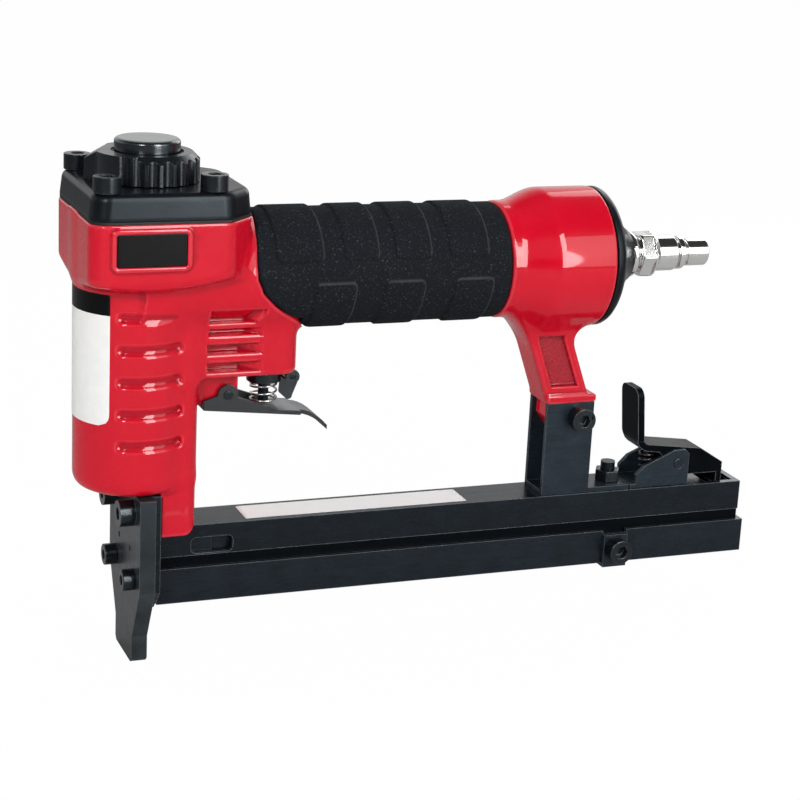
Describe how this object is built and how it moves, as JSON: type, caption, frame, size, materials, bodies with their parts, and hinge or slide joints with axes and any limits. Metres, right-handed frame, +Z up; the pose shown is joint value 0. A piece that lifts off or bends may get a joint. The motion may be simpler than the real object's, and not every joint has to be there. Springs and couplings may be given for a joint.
{
  "type": "pneumatic upholstery stapler",
  "caption": "Air-driven upholstery stapler with a red cast body, rubber grip, fluted exhaust ring and rear-loading magazine.",
  "frame": {"origin": "on the driver axis where the nose meets the work", "axes": "+X to the rear along the magazine, +Z up along the driver axis, +Y to the tool's right-hand side seen from behind"},
  "size_m": [0.2407, 0.0517, 0.1686],
  "materials": {
    "red_casting": "glossy red lacquer on a light alloy casting",
    "black_casting": "satin black paint on a light alloy casting",
    "black_steel": "satin black oxide with a blue-grey sheen",
    "black_plastic": "fine matte black",
    "grip_rubber": "suede-like matte rubber with raised pads",
    "seal_rubber": "smooth black rubber",
    "bright_steel": "ground bright steel",
    "light_alloy": "turned light alloy",
    "plated_steel": "bright plated steel"
  },
  "bodies": {
    "housing": {"housing": "red_casting", "cap_gasket": "seal_rubber", "cylinder_cap": "black_casting", "cap_screws": "black_steel", "deflector_retainer": "black_plastic", "cylinder_liner": "light_alloy", "liner_rings": "seal_rubber", "bumper": "seal_rubber", "driver_guide": "black_steel", "front_plate": "black_steel", "upper_nose_screws": "black_steel", "lower_nose_screws": "black_steel", "valve_bush": "black_plastic", "trigger_pin": "bright_steel", "lock_pin": "bright_steel", "grip_sleeve": "grip_rubber", "end_cap_ring": "seal_rubber", "end_cap": "black_casting", "air_plug": "plated_steel", "bracket": "black_steel", "bracket_screw": "black_steel", "bracket_nut": "black_steel", "fixed_magazine": "black_steel", "magazine_nut": "black_steel", "latch_bracket": "black_steel", "latch_pin": "bright_steel", "head_valve_spring": "bright_steel", "trigger_spring": "bright_steel", "latch_spring": "bright_steel"},
    "deflector": {"exhaust_deflector": "black_plastic"},
    "driver": {"piston": "light_alloy", "piston_ring": "seal_rubber", "blade_pin": "bright_steel", "driver_blade": "bright_steel"},
    "head_valve": {"head_valve": "light_alloy", "head_valve_ring": "seal_rubber"},
    "trigger": {"trigger": "black_steel"},
    "valve_stem": {"valve_stem": "bright_steel", "stem_ring": "seal_rubber"},
    "lock_finger": {"lock_finger": "black_plastic"},
    "latch_lever": {"latch_lever": "black_steel"},
    "slide": {"magazine_slide": "black_steel", "staple_rail": "bright_steel", "spring_rod": "bright_steel", "clip_strap": "black_steel", "clip_screw": "black_steel", "pusher_spring": "bright_steel"},
    "pusher": {"pusher": "bright_steel"}
  },
  "joints": [
    {"name": "deflector_turn", "type": "hinge", "parent": "housing", "child": "deflector", "pos_m": [0.004, 0, 0.159], "axis": [0, 0, 1], "continuous": true},
    {"name": "driver_stroke", "type": "slide", "parent": "housing", "child": "driver", "axis": [0, 0, -1], "range_m": [0, 0.044]},
    {"name": "head_valve_lift", "type": "slide", "parent": "housing", "child": "head_valve", "axis": [0, 0, 1], "range_m": [0, 0.003], "stiffness_N_per_m": 400, "springref_m": -0.001, "deforming": ["head_valve_spring"]},
    {"name": "trigger_pull", "type": "hinge", "parent": "housing", "child": "trigger", "pos_m": [0.0296, 0, 0.087], "axis": [0, -1, 0], "range_deg": [0, 6], "stiffness_Nm_per_rad": 0.4, "springref_deg": -5.73, "deforming": ["trigger_spring"]},
    {"name": "stem_lift", "type": "slide", "parent": "housing", "child": "valve_stem", "axis": [0, 0, 1], "range_m": [0, 0.0016]},
    {"name": "lock_swing", "type": "hinge", "parent": "housing", "child": "lock_finger", "pos_m": [0.0524, 0, 0.0908], "axis": [0, -1, 0], "range_deg": [0, 80]},
    {"name": "latch_swing", "type": "hinge", "parent": "housing", "child": "latch_lever", "pos_m": [0.1948, 0, 0.0525], "axis": [0, -1, 0], "range_deg": [0, 15], "stiffness_Nm_per_rad": 0.5, "springref_deg": -8.59, "deforming": ["latch_spring"]},
    {"name": "slide_out", "type": "slide", "parent": "housing", "child": "slide", "axis": [1, 0, 0], "range_m": [0, 0.12]},
    {"name": "pusher_run", "type": "slide", "parent": "slide", "child": "pusher", "axis": [1, 0, 0], "range_m": [0, 0.13], "stiffness_N_per_m": 20, "springref_m": -0.1, "deforming": ["pusher_spring"]}
  ],
  "couplings": [
    {"joint": "stem_lift", "follows": "trigger_pull", "m_per_rad": 0.0139}
  ]
}
